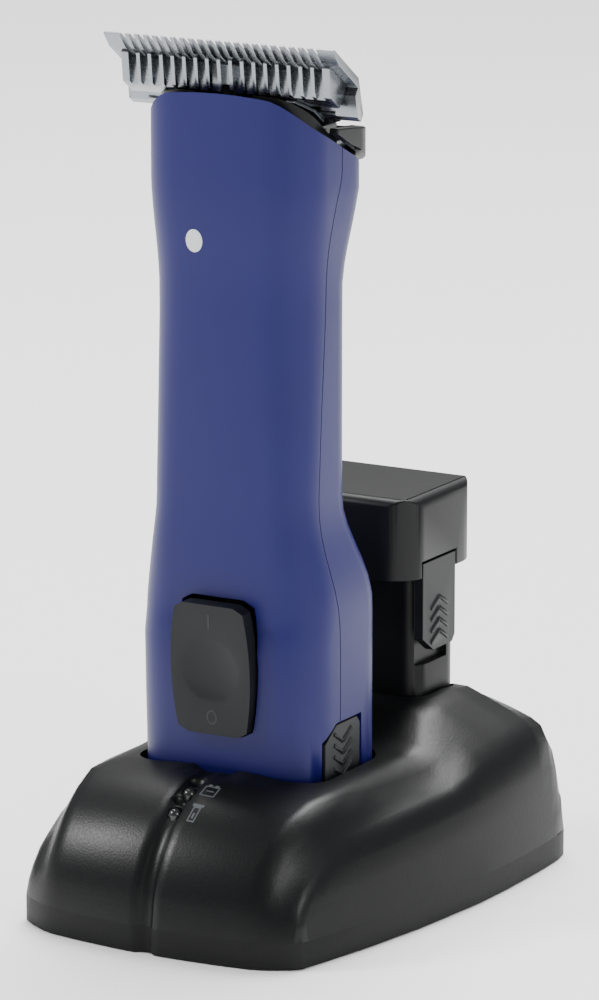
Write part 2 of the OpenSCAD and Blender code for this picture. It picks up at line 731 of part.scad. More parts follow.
// A profile in (s, n) drawn w wide about x = 0
module blade_profile(points, w) {
    rotate([90, 0, 90]) translate([0, 0, -w / 2]) linear_extrude(w)
        polygon([for (p = points) [p[0], -p[1]]]);
}
module blade_box(w, s0, s1, n0, n1) {
    translate([-w / 2, s0, -n1]) cube([w, s1 - s0, n1 - n0]);
}
function blade_y(s, n) = tip_y + s * cos(blade_lean) - n * sin(blade_lean);
function blade_z(s, n) = tip_z - s * sin(blade_lean) - n * cos(blade_lean);

comb_bend = 11.7;
comb_heel = 17.2;
comb_end = 22;
comb_face = 1.62;
comb_back = 4.8;
comb_top = 6.4;
tooth_slot = 1.05;
tooth_root = 9.2;
flange_w = 2.6;
hinge_s = 26.9;
hinge_n = 6.2;
hinge_y = blade_y(hinge_s, hinge_n);
hinge_z = blade_z(hinge_s, hinge_n);
swing = 1.25;
cutter_tip = 4.5;
cutter_end = 12.2;
cutter_top = 6.35;
cutter_ridge_s = 8.2;
slot_side = finger_w / 2 + 0.15;
finger_room = finger_w / 2 + swing + 0.9;

module comb() {
    slots = floor((comb_w - 2 * flange_w) / comb_pitch / 2);
    color(steel)
    in_blade()
    difference() {
        union() {
            blade_profile([[0.35, 0.05], [0.1, 0.5], [3.5, comb_face], [12.5, comb_face], [12.5, 3.4],
                           [15.4, comb_top], [comb_heel, comb_top], [comb_heel, comb_back],
                           [comb_bend, 0.05]], comb_w);
            // the heel narrows to the back
            translate([0, 0, -comb_top]) linear_extrude(comb_top - comb_back)
                polygon([[-20.5, 14.8], [20.5, 14.8], [20.5, comb_heel + 0.4], [13, comb_end],
                         [-13, comb_end], [-20.5, comb_heel + 0.4]]);
        }
        for (i = [-slots:slots - 1])
            translate([(i + 0.5) * comb_pitch - tooth_slot / 2, -1, -3])
                cube([tooth_slot, tooth_root + 1, 4]);
        // room for the lever's finger
        blade_box(2 * finger_room, 12, 15.6, comb_face + 0.5, comb_top + 1);
        for (sx = [-1, 1])
            translate([sx * 11, 19.6, -comb_top - 1]) cylinder(d = 2.2, h = 4);
    }
}

module cutter() {
    ridges = 18;
    first = -(ridges - 1) / 2 * cutter_pitch;
    gap = cutter_pitch - 0.75;
    color(steel)
    in_blade()
    difference() {
        blade_profile([[cutter_tip, comb_face + cutter_gap], [cutter_tip, comb_face + 0.5],
                       [cutter_ridge_s, cutter_top], [cutter_end, cutter_top],
                       [cutter_end, comb_face + cutter_gap]], cutter_w);
        for (i = [0:ridges - 2])
            translate([first + (i + 0.5) * cutter_pitch, 0, 0])
                blade_profile([[cutter_tip - 1, 0], [cutter_tip + 1.8, 0], [cutter_tip + 1.8, comb_face + 0.5],
                               [cutter_ridge_s + 1.3, cutter_top + 0.4], [cutter_tip - 1, cutter_top + 0.4]],
                              gap);
        // slot for the lever's finger, open to the back
        blade_box(2 * slot_side, 8.4, cutter_end + 1, comb_face + 0.9, cutter_top + 1);
    }
}

plate_t = 0.6;
module tension_spring() {
    color("#aeb4ba")
    in_blade()
    difference() {
        translate([0, 0, -comb_top - plate_t - 0.02]) linear_extrude(plate_t)
            polygon([[-17, 13.2], [-14.4, 10.2], [-12.2, 10.2], [-11, 13.6], [11, 13.6], [12.2, 10.2],
                     [14.4, 10.2], [17, 13.2], [17, 17.6], [12.6, 21.6], [-12.6, 21.6], [-17, 17.6]]);
        blade_box(2 * finger_room + 1, 12.8, 16, comb_top - 1, comb_top + 2);
        for (sx = [-1, 1])
            translate([sx * 11, 19.6, -comb_top - 2]) cylinder(d = 2.2, h = 4);
    }
}
module blade_screws() {
    color(steel)
    in_blade()
    for (sx = [-1, 1])
        translate([sx * 11, 19.6, 0]) {
            difference() {
                translate([0, 0, -comb_top - plate_t - 1.3]) cylinder(d = 4, h = 1.26);
                translate([-1.5, -0.3, -comb_top - plate_t - 2]) cube([3, 0.6, 1.2]);
            }
            translate([0, 0, -comb_top - plate_t - 0.5]) cylinder(d = 2, h = 1.9);
        }
}

tongue_plate_w = 13;
tongue_n = comb_top + plate_t + 0.25;
tongue_plate_t = 1.4;
knuckle_d = 5;
knuckle_w = 15.4;
module blade_socket() {
    color("#8f959b")
    in_blade() {
        for (sx = [-1, 1])
            translate([sx * (tongue_plate_w / 2 + 0.95), 0, 0])
                blade_box(1.5, 16.6, 21.4, comb_top + plate_t + 0.04, tongue_n + tongue_plate_t + 1.4);
        blade_box(tongue_plate_w + 3, 16.6, 21.4, tongue_n + tongue_plate_t + 0.25,
                  tongue_n + tongue_plate_t + 1.4);
    }
}
module blade_tongue() {
    color("#8f959b")
    in_blade()
    difference() {
        union() {
            blade_box(tongue_plate_w, 16.8, hinge_s, tongue_n, tongue_n + tongue_plate_t);
            translate([0, hinge_s, -hinge_n]) rod_x(knuckle_d, knuckle_w);
        }
        translate([0, hinge_s, -hinge_n]) rod_x(hinge_pin_d + 2 * pin_fit, knuckle_w + 2);
    }
}
pin_len = 22.4;
module hinge_pin() {
    color(steel) translate([0, hinge_y, hinge_z]) rod_x(hinge_pin_d, pin_len);
}

// ---------- head ----------
collar_z = 144.4;
collar_in = shell_wall + slide_gap;
collar_w = 2 * (half_w(150) - collar_in);
collar_front = front_face + 0.3 + collar_in;
collar_back = back_at(150) - collar_in - 2.6;
release_travel = 2;
release_t = 1.3;
release_top = 153.6;
lever_room = 6.4;
spring_d = 3;
spring_x = 13.4;
spring_z = collar_z + 3.9;
spring_seat = 1.2;
spring_bore = spring_seat + release_travel + slide_gap;

module head_collar() {
    collar_d = collar_back - collar_front;
    middle = (collar_back + collar_front) / 2;
    color(black)
    difference() {
        intersection() {
            translate([0, middle, collar_z]) rounded_block(collar_w, collar_d, 30, front_r - collar_in);
            rotate([90, 0, 90]) translate([0, 0, -40]) linear_extrude(80)
                polygon([[collar_front - 1, collar_z], [collar_back + 1, collar_z],
                         [collar_back + 1, hinge_z + 2.6], [hinge_y, hinge_z + 3.4],
                         [blade_y(21, 7.6), blade_z(21, 7.6)], [blade_y(4, 7.2), blade_z(4, 7.2)],
                         [collar_front - 1, collar_z + 12.6]]);
        }
        // shaft for the drive lever
        translate([0, clipper_y - 6.4, collar_z - 1]) centred_box(2 * lever_room, 12.4, 40);
        // pocket for the blade's tongue and socket
        in_blade() blade_box(18.6, 13.4, 40, -4, 11.6);
        in_blade() blade_box(30, 16.6, 22.6, -4, comb_top + plate_t + 2);
        translate([0, hinge_y, hinge_z]) rod_x(hinge_pin_d + 2 * pin_fit, pin_len + 0.6);
        translate([0, hinge_y, hinge_z]) rod_x(knuckle_d + 1.2, knuckle_w + 0.8);
        for (sx = [-1, 1])
            translate([sx * spring_x, collar_back - spring_bore, spring_z]) rod_y(spring_d + 0.4, 8);
    }
}

// Outline of the head grown by an offset, at the height of the release
module head_outline(grow, h) {
    w = half_w(150) + grow;
    y0 = front_at(150) - grow;
    y1 = back_at(150) + grow;
    translate([0, (y0 + y1) / 2, 0]) rounded_block(2 * w, y1 - y0, h, edge_r + grow);
}
// A band round the back of the head that is pushed in to let the blade go
module blade_release() {
    // clears the shells' sloped edge when it is pushed in
    rise = slide_gap + release_travel / 2;
    color(black)
    intersection() {
        difference() {
            translate([0, 0, collar_z - 4]) head_outline(slide_gap + release_t - 0.4, 30);
            translate([0, 0, collar_z - 5]) head_outline(-0.7, 32);
        }
        rotate([90, 0, 90]) translate([0, 0, -40]) linear_extrude(80)
            polygon([[-12.4, head_edge(-12.4) + rise], [-4, head_edge(-4) + rise],
                     [8, head_edge(8) + rise], [8, release_top - 4.6], [2, release_top - 1],
                     [-5.6, release_top], [-12.4, release_top + 0.6]]);
    }
}
module release_springs() {
    spring_len = back_at(150) - 1.75 - collar_back + spring_seat;
    color("#aeb4ba")
    for (sx = [-1, 1])
        translate([sx * spring_x, collar_back - spring_seat + 0.02, spring_z])
            difference() {
                rod_y(spring_d, spring_len);
                translate([0, -1, 0]) rod_y(spring_d - 1, spring_len + 2);
            }
}

// ---------- switch ----------
rocker_tilt = 3.5;
rocker_t = 3;
rocker_face = front_at(rocker_z) - rocker_proud;
rocker_pivot_y = rocker_face + rocker_t + 2;
ear_t = 1.6;

// Barrel outline of the rocker, cut as a prism along Y
module rocker_outline(grow, y0, length) {
    bulge_r = 60;
    half = rocker_w / 2 + grow;
    tall = rocker_h / 2 + grow;
    translate([0, y0, rocker_z]) rotate([-90, 0, 0])
        linear_extrude(length)
            intersection() {
                square([2 * half, 2 * tall], center = true);
                translate([half - bulge_r, 0]) circle(r = bulge_r, $fn = 180);
                translate([bulge_r - half, 0]) circle(r = bulge_r, $fn = 180);
                circle(r = tall + 1.1, $fn = 96);
            }
}
module switch_rocker() {
    color(grey_black)
    translate([0, rocker_pivot_y, rocker_z]) rotate([rocker_tilt, 0, 0])
    translate([0, -rocker_pivot_y, -rocker_z])
    difference() {
        union() {
            rocker_outline(0, rocker_face, rocker_t);
            translate([-4.4, rocker_face + rocker_t - eps, rocker_z - 2]) cube([8.8, 3, 4]);
            translate([0, rocker_pivot_y, rocker_z]) rod_x(rocker_axle_d, 14);
        }
        // thumb dish
        translate([0, rocker_face - 27.2, rocker_z]) sphere(r = 28, $fn = 96);
    }
}
module switch_module() {
    box_y = rocker_pivot_y + 2.1;
    box_back = clipper_y + tongue_shift - tongue_d / 2 - 0.8;
    color(black)
    difference() {
        union() {
            translate([-7.6, box_y, rocker_z - 9]) cube([15.2, box_back - box_y, 18]);
            for (sx = [-1, 1])
                translate([sx * 5.9 - ear_t / 2, rocker_pivot_y - 1.7, rocker_z - 1.9])
                    cube([ear_t, 4, 3.8]);
        }
        translate([0, rocker_pivot_y, rocker_z]) rod_x(rocker_axle_d + 2 * pin_fit, 20);
    }
}

// ---------- electrics and motor ----------
tongue_top = floor_z + cap_h + tongue_h;
motor_y = (front_at(100) + back_at(100)) / 2;
end_cap_h = 3;
motor_z = tongue_top + 8.6;
can_z = motor_z + end_cap_h;
can_top = can_z + motor_h;
mount_t = 2;
bearing_z = can_top + 9;

module control_board() {
    board_y = clipper_y - 2;
    color(green)
    difference() {
        translate([0, board_y, tongue_top + 5.6]) rounded_block(29, 16, 1, 2);
        for (sx = [-1, 1])
            translate([sx * 11.6, board_y - 4.6, tongue_top + 5]) cylinder(d = 2.2, h = 3);
    }
    color(grey_black) translate([-4, board_y - 3, tongue_top + 6.6]) centred_box(6, 6, 1.2);
}
module battery_contact_block() {
    color(grey_black)
    translate([0, clipper_y + tongue_shift, tongue_top + 2]) rounded_block(26, 12, 3, 2);
    color(brass)
    for (sx = [-1, 1])
        translate([sx * contact_x, clipper_y + tongue_shift, tongue_top + 0.7]) centred_box(2.4, 5, 1.4);
}
// A can with two flats
module flat_can(w, d, h) {
    intersection() {
        cylinder(d = w, h = h, $fn = 72);
        centred_box(w + 2, d, h);
    }
}
module motor_can() {
    color("#b8bcc0")
    translate([0, motor_y, 0])
    difference() {
        union() {
            translate([0, 0, can_z]) flat_can(motor_w, motor_d, motor_h);
            translate([0, 0, can_top - eps]) cylinder(d = 6, h = 1.5);
        }
        translate([0, 0, can_z - 1]) flat_can(motor_w - 1.8, motor_d - 1.8, motor_h - 0.4);
        translate([0, 0, can_top - 3]) cylinder(d = shaft_d + 2 * pin_fit, h = 6);
        for (sx = [-1, 1])
            translate([sx * 6, 0, can_top - 2]) cylinder(d = 1.8, h = 4);
    }
}
module motor_end_cap() {
    color(grey_black)
    translate([0, motor_y, motor_z])
    difference() {
        union() {
            flat_can(motor_w - 0.2, motor_d - 0.2, end_cap_h - 0.05);
            translate([0, 0, end_cap_h - 0.1]) flat_can(motor_w - 2.2, motor_d - 2.2, 2);
        }
        translate([0, 0, 1]) cylinder(d = shaft_d + 2 * pin_fit, h = 6);
    }
}
module motor_shaft() {
    color(steel)
    translate([0, motor_y, 0]) {
        translate([0, 0, motor_z + 1.2]) cylinder(d = shaft_d, h = bearing_z + 2 - motor_z);
        translate([0, 0, can_z + 4]) cylinder(d = 11.4, h = motor_h - 9);
    }
}
module motor_mount() {
    z0 = can_top + 0.02;
    color(grey_black)
    difference() {
        union() {
            translate([0, motor_y, z0]) rounded_block(28, 15.6, mount_t, 4);
            // two posts that carry the lever's pivot
            for (sy = [-1, 1])
                translate([0, motor_y + sy * 6.3, z0 + mount_t - eps])
                    centred_box(9, 2.2, pivot_z + 4 - z0 - mount_t);
        }
        translate([0, motor_y, z0 - 1]) cylinder(d = 6.4, h = 4);
        for (sx = [-1, 1])
            translate([sx * 6, motor_y, z0 - 1]) cylinder(d = 2.1, h = 4);
        translate([0, motor_y - 10, pivot_z]) rod_y(pivot_d, 20);
    }
}
module mount_screws() {
    color(steel)
    for (sx = [-1, 1])
        translate([sx * 6, motor_y, can_top + mount_t + 0.04]) {
            cylinder(d = 3.2, h = 1.2);
            translate([0, 0, -mount_t - 1]) cylinder(d = 1.7, h = mount_t + 1.2);
        }
}
cam_d = 4.4;
module eccentric_cam() {
    color(brass)
    translate([0, motor_y, bearing_z - 2.4])
    difference() {
        union() {
            cylinder(d = 5.4, h = 2);
            translate([throw, 0, 0]) cylinder(d = cam_d, h = 5.4);
        }
        translate([0, 0, -1]) cylinder(d = shaft_d, h = 9);
    }
}
module cam_bearing() {
    color(steel)
    translate([throw, motor_y, bearing_z])
    difference() {
        cylinder(d = bearing_d, h = 2.8);
        translate([0, 0, -1]) cylinder(d = cam_d, h = 5);
    }
}
lever_t = 4;
fork_gap = bearing_d / 2 + 2 * throw + 0.15;
finger_y = blade_y(10.6, 5.4);
finger_top = blade_z(9.6, 4.9);
lever_neck_z = 142;
module drive_lever() {
    fork_z = bearing_z - 0.6;
    color("#e8e6df")
    difference() {
        union() {
            translate([0, motor_y, fork_z]) centred_box(2 * fork_gap + 4, lever_t, pivot_z - fork_z - 1);
            translate([0, motor_y - lever_t / 2, pivot_z]) rod_y(8, lever_t);
            translate([0, motor_y, pivot_z]) centred_box(5, lever_t, lever_neck_z - pivot_z);
            translate([-2.5, finger_y - 1.3, lever_neck_z - 4])
                cube([5, motor_y + lever_t / 2 - finger_y + 1.3, 4]);
            translate([-finger_w / 2, finger_y - 1.3, lever_neck_z - eps])
                cube([finger_w, 2.6, finger_top - lever_neck_z]);
        }
        translate([0, motor_y, fork_z - 1]) centred_box(2 * fork_gap, lever_t + 2, 6);
        translate([0, motor_y - 5, pivot_z]) rod_y(pivot_d + 2 * pin_fit, 10);
    }
}
module lever_pivot_pin() {
    color(steel) translate([0, motor_y - 7.6, pivot_z]) rod_y(pivot_d, 15.2);
}

dock_top_shell();
dock_base_plate();
dock_feet();
dock_screws();
clipper_cradle();
battery_cradle();
dock_circuit_board();
dock_transformer();
dock_capacitors();
dock_clipper_contacts();
dock_battery_contacts();
indicator_lenses();
power_inlet();
power_inlet_pin();
clipper_battery_case();
clipper_battery_cap();
clipper_battery_latch_left();
clipper_battery_latch_right();
clipper_battery_cells();
clipper_battery_terminals();
spare_battery_case();
spare_battery_cap();
spare_battery_latch_left();
spare_battery_latch_right();
spare_battery_cells();
spare_battery_terminals();
front_shell();
rear_shell();
shell_screws();
head_collar();
blade_release();
release_springs();
switch_rocker();
switch_module();
control_board();
battery_contact_block();
motor_can();
motor_end_cap();
motor_shaft();
motor_mount();
mount_screws();
eccentric_cam();
cam_bearing();
drive_lever();
lever_pivot_pin();
hinge_pin();
blade_tongue();
comb();
blade_socket();
tension_spring();
blade_screws();
cutter();
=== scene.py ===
# Cordless pet clipper in its charging dock, with a spare battery.
# The looks, in metres, in the frame of the solid model.
import json
import math

import bmesh
import bpy
from mathutils import Matrix, Vector
from mathutils.bvhtree import BVHTree


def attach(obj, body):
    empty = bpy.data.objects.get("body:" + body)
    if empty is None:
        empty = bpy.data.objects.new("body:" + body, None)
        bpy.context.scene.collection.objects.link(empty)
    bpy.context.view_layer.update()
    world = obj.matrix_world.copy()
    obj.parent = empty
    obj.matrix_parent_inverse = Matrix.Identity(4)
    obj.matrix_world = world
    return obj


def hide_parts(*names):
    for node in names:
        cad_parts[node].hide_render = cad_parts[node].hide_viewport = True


MM = 0.001

# ---------- camera ----------
AZIMUTH = math.radians(30)
ELEVATION = math.radians(13.1)
DISTANCE = 1.0015
TARGET = Vector((0, -0.00325, 0.085))
# how far the camera moves right and down in its own plane
SHIFT_RIGHT = 0.0055
SHIFT_DOWN = 0.0061
FOCAL_LENGTH = 186.3
SENSOR_WIDTH = 36

right = Vector((math.cos(AZIMUTH), math.sin(AZIMUTH), 0))
ahead = Vector((-math.sin(AZIMUTH) * math.cos(ELEVATION),
                math.cos(AZIMUTH) * math.cos(ELEVATION),
                -math.sin(ELEVATION)))
above = right.cross(ahead)
camera_data = bpy.data.cameras.new("camera")
camera_data.lens = FOCAL_LENGTH
camera_data.sensor_width = SENSOR_WIDTH
camera = bpy.data.objects.new("camera", camera_data)
bpy.context.scene.collection.objects.link(camera)
turn = Matrix((right, above, -ahead)).transposed()
stand = TARGET + right * SHIFT_RIGHT - above * SHIFT_DOWN - ahead * DISTANCE
camera.matrix_world = Matrix.Translation(stand) @ turn.to_4x4()
bpy.context.scene.camera = camera

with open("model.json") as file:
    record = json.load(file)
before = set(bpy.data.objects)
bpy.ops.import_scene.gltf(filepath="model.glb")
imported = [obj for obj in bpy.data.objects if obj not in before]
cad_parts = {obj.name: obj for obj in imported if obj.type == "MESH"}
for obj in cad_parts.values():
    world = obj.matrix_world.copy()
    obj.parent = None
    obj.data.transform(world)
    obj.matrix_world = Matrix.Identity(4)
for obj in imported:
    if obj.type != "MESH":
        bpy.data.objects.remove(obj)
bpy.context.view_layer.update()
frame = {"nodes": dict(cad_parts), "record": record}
nodes = frame["nodes"]
slots = {s["node"]: s["material_slot"] for s in frame["record"]["subparts"]}
body_of_node = {n: b for b, ns in frame["record"]["behaviour"]["bodies"].items() for n in ns}


# ---------- materials ----------
# broad patches of colour to the metre, about 17 mm across
PATCHES = 60.0

def linear(colour):
    """A hex sRGB colour as linear RGBA."""
    parts = [int(colour[i:i + 2], 16) / 255 for i in (1, 3, 5)]
    return [c / 12.92 if c <= 0.04045 else ((c + 0.055) / 1.055) ** 2.4 for c in parts] + [1]


def add(tree, kind, inputs=None, **settings):
    """Adds a node, sets its settings, and links or sets its inputs."""
    made = tree.nodes.new(kind)
    for key, value in settings.items():
        setattr(made, key, value)
    for key, value in (inputs or {}).items():
        if isinstance(value, bpy.types.NodeSocket):
            tree.links.new(value, made.inputs[key])
        else:
            made.inputs[key].default_value = value
    return made


def material(name, dark, light, rough, metal=0.0, grain=0.4, relief=0.02, stretch=(1, 1, 1),
             coat=0.0, shine=0.24):
    """A finish between two colours and two roughnesses; its grain and relief are in mm."""
    made = bpy.data.materials.new(name)
    made.use_nodes = True
    tree = made.node_tree
    tree.nodes.clear()
    place = add(tree, "ShaderNodeTexCoord").outputs["Object"]
    drawn = add(tree, "ShaderNodeMapping", {"Vector": place, "Scale": stretch}).outputs["Vector"]
    broad = add(tree, "ShaderNodeTexNoise",
                {"Vector": drawn, "Scale": PATCHES, "Detail": 3.0}).outputs["Fac"]
    fine = add(tree, "ShaderNodeTexNoise",
               {"Vector": drawn, "Scale": 1000 / grain, "Detail": 2.0}).outputs["Fac"]
    colour = add(tree, "ShaderNodeMix",
                 {"Factor": broad, "A": linear(dark), "B": linear(light)}, data_type="RGBA")
    sheen = add(tree, "ShaderNodeMapRange",
                {"Value": fine, "To Min": rough[0], "To Max": rough[1]})
    bump = add(tree, "ShaderNodeBump",
               {"Height": fine, "Strength": 0.5, "Distance": relief * MM})
    shader = add(tree, "ShaderNodeBsdfPrincipled", {
        "Base Color": colour.outputs["Result"], "Roughness": sheen.outputs["Result"],
        "Normal": bump.outputs["Normal"], "Metallic": metal, "Specular IOR Level": shine,
        "Coat Weight": coat, "Coat Roughness": 0.25})
    add(tree, "ShaderNodeOutputMaterial", {"Surface": shader.outputs["BSDF"]})
    return made


# moulded ABS: spark-textured on the dock, so its shine is broken up,
# and polished to a satin on the handle, where the highlights run smoothly
dock_plastic = material("dock_plastic", "#08090a", "#0e0f11", (0.3, 0.44), grain=0.45, relief=0.05)
base_plastic = material("base_plastic", "#08090a", "#0d0e0f", (0.48, 0.6), grain=0.5, relief=0.03)
blue_plastic = material("blue_plastic", "#0f0f52", "#131459", (0.36, 0.44),
                        grain=0.3, relief=0.006, shine=0.3)
trim_plastic = material("trim_plastic", "#0b0c0d", "#111214", (0.34, 0.44), grain=0.35, relief=0.012)
battery_plastic = material("battery_plastic", "#0a0b0c", "#101113", (0.34, 0.45),
                           grain=0.35, relief=0.03)
rocker_plastic = material("rocker_plastic", "#101214", "#16181a", (0.34, 0.45),
                          grain=0.3, relief=0.02)
# acetal lever: a waxy black; feet of moulded rubber: dull and dusty
acetal = material("acetal", "#0f1011", "#151617", (0.4, 0.5), grain=0.4)
foot_rubber = material("foot_rubber", "#0c0c0d", "#131314", (0.75, 0.9), grain=0.3, relief=0.04)
# blade steel is ground along its length, so its shine is streaked that way;
# the streaks are drawn coarser than the grit leaves them, so that they show
ground_steel = material("ground_steel", "#75797d", "#94989c", (0.16, 0.34), metal=1.0,
                        grain=0.25, relief=0.008, stretch=(0.05, 1, 1), shine=0.5)
spring_steel = material("spring_steel", "#53575b", "#6b6f73", (0.28, 0.4), metal=1.0,
                        grain=0.3, relief=0.006, stretch=(0.1, 1, 1))
# nickel-plated steel and gilt brass: bright and even
plated_steel = material("plated_steel", "#a8aaac", "#c3c5c6", (0.25, 0.38), metal=1.0,
                        grain=0.4, relief=0.005)
gold_brass = material("gold_brass", "#b08a3e", "#cda654", (0.25, 0.4), metal=1.0,
                      grain=0.3, relief=0.005)
# small inner pieces: resin board, ferrite core, shrunk sleeves on cells and capacitors
board_green = material("board_green", "#1c5236", "#24633f", (0.3, 0.42), grain=0.5)
ferrite = material("ferrite", "#3a3228", "#4a4030", (0.6, 0.75))
sleeve_blue = material("sleeve_blue", "#27344c", "#2f3f5a", (0.25, 0.35))
sleeve_green = material("sleeve_green", "#64783f", "#718648", (0.25, 0.35))
# a smoked acrylic lens is glossy; the on and off marks are moulded in the rocker's own plastic, and
# the paler tone given them is painted highlight for the light caught on their raised relief; the
# other marks are printed in a dull ink
smoked_lens = material("smoked_lens", "#1b1f1f", "#272b2a", (0.1, 0.18), coat=0.6)
moulded_mark_painted_highlight = material("moulded_mark_painted_highlight", "#26292c", "#303336", (0.3, 0.4), grain=0.2)
mark_white = material("mark_white", "#c9ccce", "#dadcdd", (0.45, 0.55), grain=0.2, relief=0.01)
mark_grey = material("mark_grey", "#4c5053", "#585c5f", (0.45, 0.55), grain=0.2, relief=0.01)

FINISHES = {
    "dock_shell": dock_plastic, "base_plastic": base_plastic, "foot_rubber": foot_rubber,
    "screw_steel": plated_steel, "circuit_board": board_green, "transformer": ferrite,
    "capacitor": sleeve_blue, "contact_metal": gold_brass, "lens": smoked_lens,
    "battery_plastic": battery_plastic, "cell_sleeve": sleeve_green, "shell_blue": blue_plastic,
    "trim_black": trim_plastic, "motor_steel": plated_steel, "lever_plastic": acetal,
    "blade_steel": ground_steel, "spring_steel": spring_steel}


# ---------- pieces ----------
# vertices nearer than this, in mm, are one
WELD = 0.002


def piece(name, mesh, finish, body):
    """An object of one finish that rides with a body."""
    made = bpy.data.objects.new(name, mesh)
    bpy.context.scene.collection.objects.link(made)
    mesh.materials.clear()
    mesh.materials.append(finish)
    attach(made, body)
    return made


def smooth_by_angle(mesh, degrees):
    """Shades a mesh smooth, with creases where it turns by more than the angle."""
    mesh.polygons.foreach_set("use_smooth", [True] * len(mesh.polygons))
    mesh.set_sharp_from_angle(angle=math.radians(degrees))


def refined(node, edge, angle=38, flat=2.0, finish=None):
    """A merged copy of a solid's mesh, shown in its place.

    Its edges are softened by edge, in mm, where they turn by more than angle, in degrees.
    Facets within flat degrees of one another become one face.
    """
    source = nodes[node]
    mesh = source.data.copy()
    mesh.transform(source.matrix_world)
    work = bmesh.new()
    work.from_mesh(mesh)
    bmesh.ops.remove_doubles(work, verts=work.verts, dist=WELD * MM)
    bmesh.ops.dissolve_limit(work, angle_limit=math.radians(flat),
                             verts=work.verts, edges=work.edges)
    bmesh.ops.triangulate(work, faces=[f for f in work.faces if len(f.verts) > 4])
    work.to_mesh(mesh)
    work.free()
    smooth_by_angle(mesh, angle)
    made = piece(node + "_finished", mesh, finish or FINISHES[slots[node]], body_of_node[node])
    if edge:
        soft = made.modifiers.new("softened_edges", "BEVEL")
        soft.width = edge * MM
        soft.segments = 2
        soft.profile = 0.5
        soft.limit_method = "ANGLE"
        soft.angle_limit = math.radians(angle)
        soft.use_clamp_overlap = True
        soft.harden_normals = True
    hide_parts(node)
    return made


# how far each solid's edges are softened, in mm
SOFTENED = {
    "dock_base_plate": 0.35, "dock_feet": 0.3, "indicator_lenses": 0.1,
    "power_inlet": 0.3, "power_inlet_pin": 0.2,
    "clipper_battery_cap": 0.5, "spare_battery_cap": 0.5,
    "clipper_battery_case": 0.3, "spare_battery_case": 0.3,
    "clipper_battery_latch_left": 0.15, "clipper_battery_latch_right": 0.15,
    "spare_battery_latch_left": 0.15, "spare_battery_latch_right": 0.15,
    "head_collar": 0.4, "blade_release": 0.3, "blade_socket": 0.15, "blade_tongue": 0.15,
    "comb": 0.08, "cutter": 0.06, "tension_spring": 0.1,
    "blade_screws": 0.15, "shell_screws": 0.12, "dock_screws": 0.12}
# the latches are moulded in the rocker's plastic, a shade paler than the batteries
OWN_FINISH = {
    "clipper_battery_latch_left": rocker_plastic, "clipper_battery_latch_right": rocker_plastic,
    "spare_battery_latch_left": rocker_plastic, "spare_battery_latch_right": rocker_plastic}
for node, edge in SOFTENED.items():
    refined(node, edge, finish=OWN_FINISH.get(node))
# the three curved shells are round enough already
dock_top = refined("dock_top_shell", 0, angle=32, flat=0.05)
front = refined("front_shell", 0, angle=34, flat=0.05)
refined("rear_shell", 0, angle=34, flat=0.05)
rocker = refined("switch_rocker", 0.25, angle=30, flat=0.2, finish=rocker_plastic)
for node, shown in nodes.items():
    shown.data.materials.clear()
    shown.data.materials.append(FINISHES[slots[node]])


# ---------- printed marks ----------
X, Y, Z = Vector((1, 0, 0)), Vector((0, 1, 0)), Vector((0, 0, 1))
# how far a print stands proud, in mm, and how many times as far it is sunk in
PROUD = 0.03
SUNK = 4
# how far back from its points a print is cast, in metres
CAST_FROM = 0.05
PRINT_WELD = 0.001
# the icons on the dock, in mm: the width of their lines, their places, and a height above them
LINE = 0.26
ICON_X = 4.4
BATTERY_ICON_Y = -34.0
CLIPPER_ICON_Y = -40.0
ICON_FROM = 30


def mark(name, on, body, strips, towards, finish):
    """Thin print on a surface, from strips: pairs of rows of points cast along a direction."""
    surface = BVHTree.FromObject(on, bpy.context.evaluated_depsgraph_get())
    work = bmesh.new()
    lift = -towards * PROUD * MM
    for strip in strips:
        rows = []
        for row in strip:
            hits = [surface.ray_cast(Vector(p) - towards * CAST_FROM, towards)[0] for p in row]
            rows.append(([work.verts.new(h + lift) for h in hits],
                         [work.verts.new(h - lift * SUNK) for h in hits]))
        (a, a_low), (b, b_low) = rows
        for i in range(len(a) - 1):
            work.faces.new((a[i], a[i + 1], b[i + 1], b[i]))
            work.faces.new((a_low[i], b_low[i], b_low[i + 1], a_low[i + 1]))
            work.faces.new((a[i], a_low[i], a_low[i + 1], a[i + 1]))
            work.faces.new((b[i], b[i + 1], b_low[i + 1], b_low[i]))
        # an open strip is closed at its two ends
        if strip[0][0] != strip[0][-1]:
            work.faces.new((a[0], b[0], b_low[0], a_low[0]))
            work.faces.new((a[-1], a_low[-1], b_low[-1], b[-1]))
    bmesh.ops.remove_doubles(work, verts=work.verts, dist=PRINT_WELD * MM)
    bmesh.ops.recalc_face_normals(work, faces=work.faces)
    mesh = bpy.data.meshes.new(name)
    work.to_mesh(mesh)
    work.free()
    made = piece(name, mesh, finish, body)
    return made


def ring(centre, across, up, outer, inner, steps=32):
    """A closed strip between two ellipses, each given by its half width and height in mm."""
    rows = []
    for wide, tall in (outer, inner):
        turns = (2 * math.pi * i / steps for i in range(steps))
        rows.append([tuple(Vector(centre) + across * (wide * MM * math.cos(t))
                           + up * (tall * MM * math.sin(t))) for t in turns])
        rows[-1].append(rows[-1][0])
    return rows


def bar(centre, across, up, wide, tall, steps=8):
    """A straight strip, its size in mm."""
    return [[tuple(Vector(centre) + across * (side * wide * MM / 2)
                   + up * (tall * MM * (i / steps - 0.5)))
             for i in range(steps + 1)] for side in (-1, 1)]


def disc(centre, across, up, wide, tall, steps=24):
    """An oval of half width and height in mm, cut off by a hair at its two side tips."""
    rows = [[], []]
    for i in range(steps + 1):
        t = math.radians(4 + 172 * i / steps)
        for row, side in zip(rows, (-1, 1)):
            row.append(tuple(Vector(centre) + across * (-wide * MM * math.cos(t))
                             + up * (side * tall * MM * math.sin(t))))
    return rows


